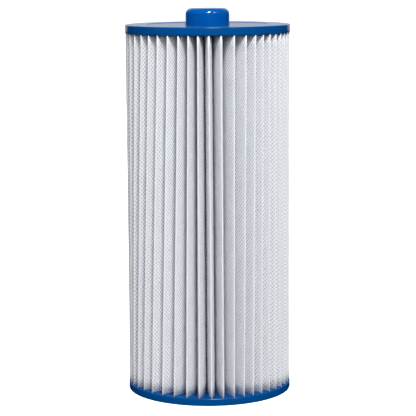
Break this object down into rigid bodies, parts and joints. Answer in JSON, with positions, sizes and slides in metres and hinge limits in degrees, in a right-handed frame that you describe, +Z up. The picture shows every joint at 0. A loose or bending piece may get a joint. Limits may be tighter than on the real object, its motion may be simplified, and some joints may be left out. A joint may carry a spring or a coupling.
{
  "type": "pool and spa filter cartridge",
  "caption": "Cylindrical pleated filter cartridge with flat round end caps, a low handle knob on the closed top and an open round outlet in the bottom.",
  "frame": {"origin": "middle of the underside of the bottom end cap, on the surface the cartridge stands on", "axes": "+Z up along the cartridge's axis towards the handle knob; the front faces -Y and the media's glued seam is at +Y"},
  "size_m": [0.124, 0.124, 0.2908],
  "materials": {
    "cap_blue": "glossy cast urethane",
    "knob_blue": "glossy moulded plastic",
    "core_white": "plain moulded white plastic",
    "polyester_media": "white spunbond polyester with a point-bond pattern",
    "seam_adhesive": "translucent hot-melt glue"
  },
  "bodies": {
    "root": {"top_end_cap": "cap_blue", "bottom_end_cap": "cap_blue", "handle_knob": "knob_blue", "core_top_plug": "core_white", "outlet_collar": "core_white", "core_section_1": "core_white", "core_section_2": "core_white", "core_section_3": "core_white", "pleated_media": "polyester_media", "media_seam_bead": "seam_adhesive"}
  },
  "joints": []
}
